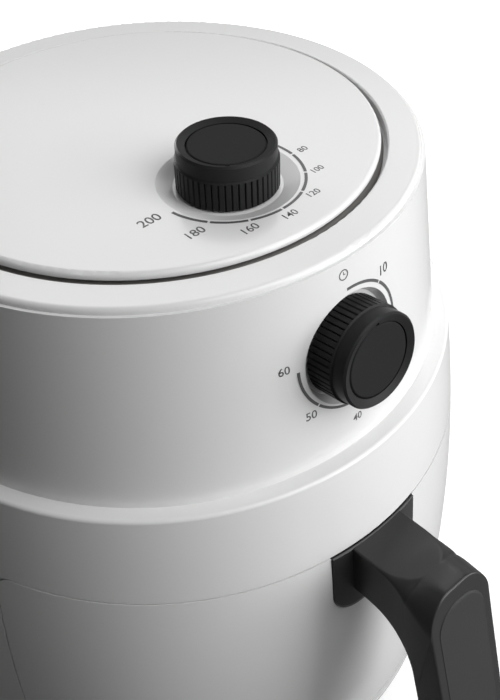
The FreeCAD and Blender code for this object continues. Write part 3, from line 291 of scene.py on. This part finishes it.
def dress_nodes():
    """Give every solid its finish."""
    for material, names in FINISHES.items():
        for name in names:
            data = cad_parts[name].data
            data.materials.clear()
            data.materials.append(material)


def finished_mesh(name, shape):
    mesh = bpy.data.meshes.new(name)
    shape.to_mesh(mesh)
    shape.free()
    return mesh


def new_piece(name, mesh, material, body):
    """A piece of the scene with its material, which moves with a body."""
    piece = bpy.data.objects.new(name, mesh)
    scene.collection.objects.link(piece)
    mesh.materials.clear()
    mesh.materials.append(material)
    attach(piece, body)
    return piece


def printed_ring(shape, ring, marks):
    """A dial's ring as one stretch of line from mark to mark, with a gap at each number."""
    radius, right, up = ring
    before = len(shape.verts)
    for start, end in zip(marks, marks[1:]):
        printed_arc(shape, radius, RING_LINE, start + RING_GAP, end - RING_GAP)
    shape.verts.ensure_lookup_table()
    bmesh.ops.translate(shape, verts=shape.verts[before:], vec=(right, up, 0))


def printed_arc(shape, radius, width, start, end):
    """A stretch of line round the dial's axis, in degrees clockwise from the top."""
    turn = Matrix.Rotation(-math.radians(start), 4, "Z")
    corners = [shape.verts.new(turn @ Vector((0, radius + side * width / 2, 0))) for side in (-1, 1)]
    line = shape.edges.new(corners)
    bmesh.ops.spin(shape, geom=[*corners, line], cent=(0, 0, 0), axis=(0, 0, -1),
                   angle=math.radians(end - start), steps=max(ARC_LEAST, round((end - start) / ARC_STEP)))


def printed_number(shape, text, right, up, tall):
    """An upright number with its middle at that place on the dial."""
    curve = bpy.data.curves.new("number", "FONT")
    curve.body = text
    curve.resolution_u = NUMBER_CURVE
    curve.offset = NUMBER_WEIGHT
    letters = bpy.data.objects.new("number", curve)
    mesh = bpy.data.meshes.new_from_object(letters)
    before = len(shape.verts)
    shape.from_mesh(mesh)
    shape.verts.ensure_lookup_table()
    verts = shape.verts[before:]
    low = Vector([min(vert.co[i] for vert in verts) for i in range(3)])
    high = Vector([max(vert.co[i] for vert in verts) for i in range(3)])
    size = tall / (high.y - low.y)
    bmesh.ops.translate(shape, verts=verts, vec=-(low + high) / 2)
    bmesh.ops.scale(shape, verts=verts, vec=(size, size, size))
    bmesh.ops.translate(shape, verts=verts, vec=(right, up, 0))
    bpy.data.objects.remove(letters)
    bpy.data.curves.remove(curve)
    bpy.data.meshes.remove(mesh)


def printed_clock(shape, right, up):
    """The clock sign that marks where the timer starts: a ring and two hands."""
    before = len(shape.verts)
    printed_arc(shape, CLOCK_R, CLOCK_LINE, 0, 180)
    printed_arc(shape, CLOCK_R, CLOCK_LINE, 180, 360)
    for length, turn in CLOCK_HANDS:
        hand = bmesh.ops.create_grid(shape, x_segments=1, y_segments=1, size=0.5)["verts"]
        bmesh.ops.scale(shape, verts=hand, vec=(HAND_LINE, length, 1))
        bmesh.ops.translate(shape, verts=hand, vec=(0, length / 2, 0))
        bmesh.ops.rotate(shape, verts=hand, matrix=Matrix.Rotation(-math.radians(turn), 3, "Z"))
    shape.verts.ensure_lookup_table()
    bmesh.ops.translate(shape, verts=shape.verts[before:], vec=(right, up, 0))


def printed_scale(name, shape, seat):
    """Give the flat print its thickness and lay it on its dial."""
    bmesh.ops.remove_doubles(shape, verts=shape.verts, dist=WELD)
    bmesh.ops.recalc_face_normals(shape, faces=shape.faces)
    bmesh.ops.solidify(shape, geom=shape.faces[:], thickness=PRINT_THICK)
    low = min(vert.co.z for vert in shape.verts)
    for vert in shape.verts:
        vert.co = seat(vert.co.x, vert.co.y, vert.co.z - low - PRINT_SUNK)
    bmesh.ops.recalc_face_normals(shape, faces=shape.faces)
    new_piece(name, finished_mesh(name, shape), PRINT_GREY, "housing")


def on_cover(right, up, out):
    """A point of the temperature dial's print, flat on the top cover."""
    return Vector((right, DIAL_Y + up, COVER_Z + out))


def on_wall(right, up, out):
    """A point of the timer's print, wrapped round the leaning front wall."""
    height = TIMER_Z + up * math.cos(WALL_LEAN)
    radius = RIM_R + (RIM_Z - height) * CONE_SLOPE + out
    return Vector((radius * math.sin(right / radius), AXIS_Y - radius * math.cos(right / radius), height))


def add_temperature_scale():
    shape = bmesh.new()
    printed_ring(shape, TEMPERATURE_RING, TEMPERATURE_MARKS)
    for number in TEMPERATURE_NUMBERS:
        printed_number(shape, *number)
    printed_scale("temperature_scale", shape, on_cover)


def add_timer_scale():
    shape = bmesh.new()
    printed_ring(shape, TIMER_RING, TIMER_MARKS)
    for number in TIMER_NUMBERS:
        printed_number(shape, *number)
    printed_clock(shape, *TIMER_START)
    printed_scale("timer_scale", shape, on_wall)


def add_painted_groove_shade():
    """A dark grey ring of painted shade in the groove round the top cover, under the cover's lip, where the
    gap lies in shadow.
    """
    shape = bmesh.new()
    corners = [shape.verts.new((radius, 0, z)) for radius, z in GROOVE_SHADE_SECTION]
    ring = [shape.edges.new(pair) for pair in zip(corners, corners[1:] + corners[:1])]
    bmesh.ops.spin(shape, geom=corners + ring, cent=(0, 0, 0), axis=(0, 0, 1), angle=2 * math.pi,
                   steps=GROOVE_SHADE_STEPS, use_merge=True)
    bmesh.ops.recalc_face_normals(shape, faces=shape.faces)
    bmesh.ops.translate(shape, verts=shape.verts, vec=(0, AXIS_Y, 0))
    for face in shape.faces:
        face.smooth = True
    mesh = finished_mesh("painted_groove_shade_ring", shape)
    new_piece("painted_groove_shade_ring", mesh, PAINTED_GROOVE_SHADE, "housing")


def spread(across, half, rounding):
    """Where a slice lies across a piece with rounded corners, and how far down the corner it is, 0 to 1."""
    side, reach = math.copysign(1, across), abs(across)
    if reach <= FLAT_SHARE:
        return side * (half - rounding) * reach / FLAT_SHARE, 0.0
    turn = math.pi / 2 * (reach - FLAT_SHARE) / (1 - FLAT_SHARE)
    return side * (half - rounding + rounding * math.sin(turn)), 1 - math.cos(turn)


def edge_fall(x, half):
    """How far a surface falls back within EDGE_ROUND of its side edge."""
    near = max(0.0, abs(x) - half + EDGE_ROUND) / EDGE_ROUND
    return EDGE_ROUND * (1 - math.sqrt(max(0.0, 1 - near * near)))


def part_way(number, low, high):
    """How far a number is from low to high, 0 to 1."""
    return min(1.0, max(0.0, (number - low) / (high - low)))


def eased(share):
    """A share that starts and ends gently."""
    return share * share * (3 - 2 * share)


def sheet_solid(name, rows, front, back, material, body):
    """A solid from a grid of slices and rows, laid by front(across, row) and closed behind by back."""
    shape = bmesh.new()
    bmesh.ops.create_grid(shape, x_segments=SLICES, y_segments=rows, size=1.0)
    faced = shape.verts[:]
    behind = [item for item in bmesh.ops.extrude_face_region(shape, geom=shape.faces[:])["geom"]
              if isinstance(item, bmesh.types.BMVert)]
    for verts, lay in ((faced, front), (behind, back)):
        for vert in verts:
            x, out, z = lay(vert.co.x, (1 - vert.co.y) / 2)
            vert.co = (x, AXIS_Y - out, z)
    bmesh.ops.recalc_face_normals(shape, faces=shape.faces)
    for face in shape.faces:
        face.smooth = True
    return new_piece(name, finished_mesh(name, shape), material, body)


def wall_out(x, z, proud):
    """How far in front of the axis the drawer's round wall is, with proud added to its radius."""
    radius = WALL_MID_OUT + math.sqrt(WALL_ARC ** 2 - (z - WALL_MID_Z) ** 2) + proud
    return math.sqrt(radius ** 2 - x ** 2)


def plate_face(across, row, proud=PLATE_PROUD):
    """The plate round the arm's root, which follows the drawer's wall and is rounded below."""
    x, corner = spread(across, PLATE_HALF, PLATE_ROUND)
    z = PLATE_TOP + (PLATE_LOW + corner * PLATE_ROUND - PLATE_TOP) * row
    return x, wall_out(x, z, proud), z


def plate_back(across, row):
    return plate_face(across, row, -PLATE_PROUD)


def handle_outside(across, row):
    """The handle's outer side: along the arm's top, over the brow, down the face and round the toe."""
    brow_x, brow_corner = spread(across, FACE_HALF, CROWN_ROUND)
    corner_z = BROW_Z - brow_corner * ARCH_DEEP
    corner_out = BROW_OUT + brow_corner * ARCH_DEEP * FACE_SLOPE
    if row <= ARM_END:
        out = ARM_OUT + (BROW_OUT - BROW_SOFT - ARM_OUT) * row / ARM_END
        turned = 1 - (1 - part_way(out, TONGUE_START, TONGUE_END) ** 2) ** TONGUE_BLUNT
        crowned = eased(part_way(out, TONGUE_END, BROW_OUT))
        rising = eased(part_way(out, RISE_START, BROW_OUT))
        round_x = EDGE_ROUND + (CROWN_ROUND - EDGE_ROUND) * turned
        round_z = EDGE_ROUND + (CROWN_DEEP - EDGE_ROUND) * turned + (ARCH_DEEP - CROWN_DEEP) * crowned
        x, corner = spread(across, ARM_HALF + (FACE_HALF - ARM_HALF) * rising, round_x)
        fall = crowned * corner * round_z * FACE_SLOPE
        return x, out + fall, ARM_Z + (BROW_Z - ARM_Z) * rising - corner * round_z
    if row <= BROW_END:
        bend = part_way(row, ARM_END, BROW_END)
        out = corner_out - BROW_SOFT * (1 - bend) ** 2 + BROW_SOFT * FACE_SLOPE * bend ** 2
        z = corner_z - BROW_SOFT * bend ** 2
    elif row <= FACE_END:
        z = corner_z - BROW_SOFT + (SHIN_Z - corner_z + BROW_SOFT) * part_way(row, BROW_END, FACE_END)
        out = BROW_OUT + (BROW_Z - z) * FACE_SLOPE
    else:
        bend = math.pi / 2 * part_way(row, FACE_END, 1)
        out, z = TOE_OUT + TOE_ROUND * math.cos(bend), TOE_Z - TOE_ROUND * math.sin(bend)
    return brow_x, out - edge_fall(brow_x, FACE_HALF) * part_way(row, ARM_END, EDGE_FULL), z


def handle_inside(across, row):
    """The handle's inner side: under the arm, round the hand's bend and down behind the grip."""
    lean = math.atan(FACE_SLOPE)
    bend_out = HAND_OUT - HAND_ROUND * math.tan((math.pi / 2 - lean) / 2)
    half = ARM_HALF + (FACE_HALF - ARM_HALF) * eased(part_way(row, FLARE_START, ARM_END))
    x = spread(across, half, HAND_CORNER)[0]
    fall = edge_fall(x, half)
    if row <= BEND_START:
        root = ARM_OUT + ROOT_BACK
        return x, root + (bend_out - root) * row / BEND_START, HAND_Z + fall
    turn = math.pi / 2 - (math.pi / 2 - lean) * part_way(row, BEND_START, ARM_END)
    reach = HAND_ROUND + fall
    out = bend_out + reach * math.cos(turn)
    z = HAND_Z - HAND_ROUND + reach * math.sin(turn)
    drop = (z - TOE_Z + TOE_ROUND) * part_way(row, ARM_END, 1)
    return x, out + drop * FACE_SLOPE, z - drop


def panel_face(across, row, proud=PANEL_PROUD):
    """The inlaid panel of the grip's face, arched above and below."""
    x, corner = spread(across, PANEL_HALF, PANEL_ROUND)
    top, low = PANEL_TOP - corner * PANEL_ARCH, PANEL_LOW + corner * PANEL_ROUND
    z = top + (low - top) * row
    return x, BROW_OUT + (BROW_Z - z) * FACE_SLOPE + proud, z


def panel_back(across, row):
    return panel_face(across, row, -PANEL_SUNK)


def add_handle():
    """The handle as it looks: its grip, the plate at its root and the panel in its face."""
    grip = sheet_solid("handle_grip", GRIP_ROWS, handle_outside, handle_inside, HANDLE_BLACK,
                       "drawer")
    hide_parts("handle")
    sheet_solid("handle_plate", PLATE_ROWS, plate_face, plate_back, HANDLE_BLACK,
                "drawer")
    panel = sheet_solid("handle_panel", PANEL_ROWS, panel_face, panel_back, PANEL_GREY,
                        "drawer")
    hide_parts("handle_insert")


def seen_rays(nodes, links):
    """1 for rays that show the pale room as it is, and a share of that for reflections in gloss."""
    path = nodes.new("ShaderNodeLightPath")
    through = nodes.new("ShaderNodeMath")
    through.operation = "MAXIMUM"
    links.new(path.outputs["Is Camera Ray"], through.inputs[0])
    links.new(path.outputs["Is Transmission Ray"], through.inputs[1])
    seen = nodes.new("ShaderNodeMath")
    seen.operation = "MULTIPLY_ADD"
    seen.use_clamp = True
    seen.inputs[1].default_value = ROOM_MIRRORED
    links.new(path.outputs["Is Glossy Ray"], seen.inputs[0])
    links.new(through.outputs["Value"], seen.inputs[2])
    return seen.outputs["Value"]


def add_floor():
    """A pale floor that fades to white further out and throws little light back up."""
    shape = bmesh.new()
    bmesh.ops.create_grid(shape, x_segments=1, y_segments=1, size=FLOOR_HALF)
    floor = bpy.data.objects.new("floor", finished_mesh("floor", shape))
    scene.collection.objects.link(floor)
    material, nodes, links, shader = new_material("pale_floor")
    shader.inputs["Base Color"].default_value = (*FLOOR_PALE, 1)
    shader.inputs["Roughness"].default_value = FLOOR_ROUGH
    shader.inputs["Specular IOR Level"].default_value = FLOOR_SHINE
    shader.inputs["Emission Color"].default_value = (1, 1, 1, 1)
    place = nodes.new("ShaderNodeTexCoord")
    away = nodes.new("ShaderNodeVectorMath")
    away.operation = "LENGTH"
    links.new(place.outputs["Object"], away.inputs[0])
    lift = nodes.new("ShaderNodeMapRange")
    lift.inputs["From Min"].default_value, lift.inputs["From Max"].default_value = FLOOR_FADE
    lift.inputs["To Min"].default_value = FLOOR_LIFT
    lift.inputs["To Max"].default_value = 1.0
    links.new(away.outputs["Value"], lift.inputs["Value"])
    links.new(lift.outputs["Result"], shader.inputs["Emission Strength"])
    dull = nodes.new("ShaderNodeBsdfDiffuse")
    dull.inputs["Color"].default_value = (*FLOOR_BOUNCE, 1)
    mix = nodes.new("ShaderNodeMixShader")
    links.new(seen_rays(nodes, links), mix.inputs["Fac"])
    links.new(dull.outputs["BSDF"], mix.inputs[1])
    links.new(shader.outputs["BSDF"], mix.inputs[2])
    links.new(mix.outputs["Shader"], nodes["Material Output"].inputs["Surface"])
    floor.data.materials.append(material)


def add_softbox(name, azimuth, height, size, level):
    """A square lamp turned to the body's middle."""
    data = bpy.data.lights.new(name, "AREA")
    data.size = size
    data.energy = level * (math.pi * LAMP_AWAY) ** 2
    across, rise = math.radians(azimuth), math.radians(height)
    toward = Vector((math.sin(across) * math.cos(rise), -math.cos(across) * math.cos(rise), math.sin(rise)))
    lamp = bpy.data.objects.new(name, data)
    lamp.location = Vector((0, AXIS_Y, BODY_MIDDLE)) + toward * LAMP_AWAY
    lamp.rotation_euler = (-toward).to_track_quat("-Z", "Y").to_euler()
    scene.collection.objects.link(lamp)


def add_studio():
    """Softboxes from the front right, above and behind, in a dim room that is paler to the right."""
    world = bpy.data.worlds.new("studio")
    scene.world = world
    world.use_nodes = True
    nodes, links = world.node_tree.nodes, world.node_tree.links
    place = nodes.new("ShaderNodeTexCoord")
    toward = nodes.new("ShaderNodeVectorMath")
    toward.operation = "DOT_PRODUCT"
    toward.inputs[1].default_value = ROOM_PALE_TOWARD
    links.new(place.outputs["Generated"], toward.inputs[0])
    room = nodes.new("ShaderNodeMapRange")
    room.inputs["From Min"].default_value = ROOM_DIM_END
    room.inputs["To Min"].default_value = ROOM_DIM
    room.inputs["To Max"].default_value = ROOM_PALE
    links.new(toward.outputs["Value"], room.inputs["Value"])
    level = nodes.new("ShaderNodeMix")
    level.inputs["B"].default_value = 1.0
    links.new(seen_rays(nodes, links), level.inputs["Factor"])
    links.new(room.outputs["Result"], level.inputs["A"])
    links.new(level.outputs["Result"], nodes["Background"].inputs["Strength"])
    nodes["Background"].inputs["Color"].default_value = (1, 1, 1, 1)
    for name, lamp in SOFTBOXES.items():
        add_softbox(name, *lamp)


dress_nodes()
add_temperature_scale()
add_timer_scale()
add_painted_groove_shade()
add_handle()
add_floor()
add_studio()
add_camera()
scene.view_settings.view_transform = "Standard"
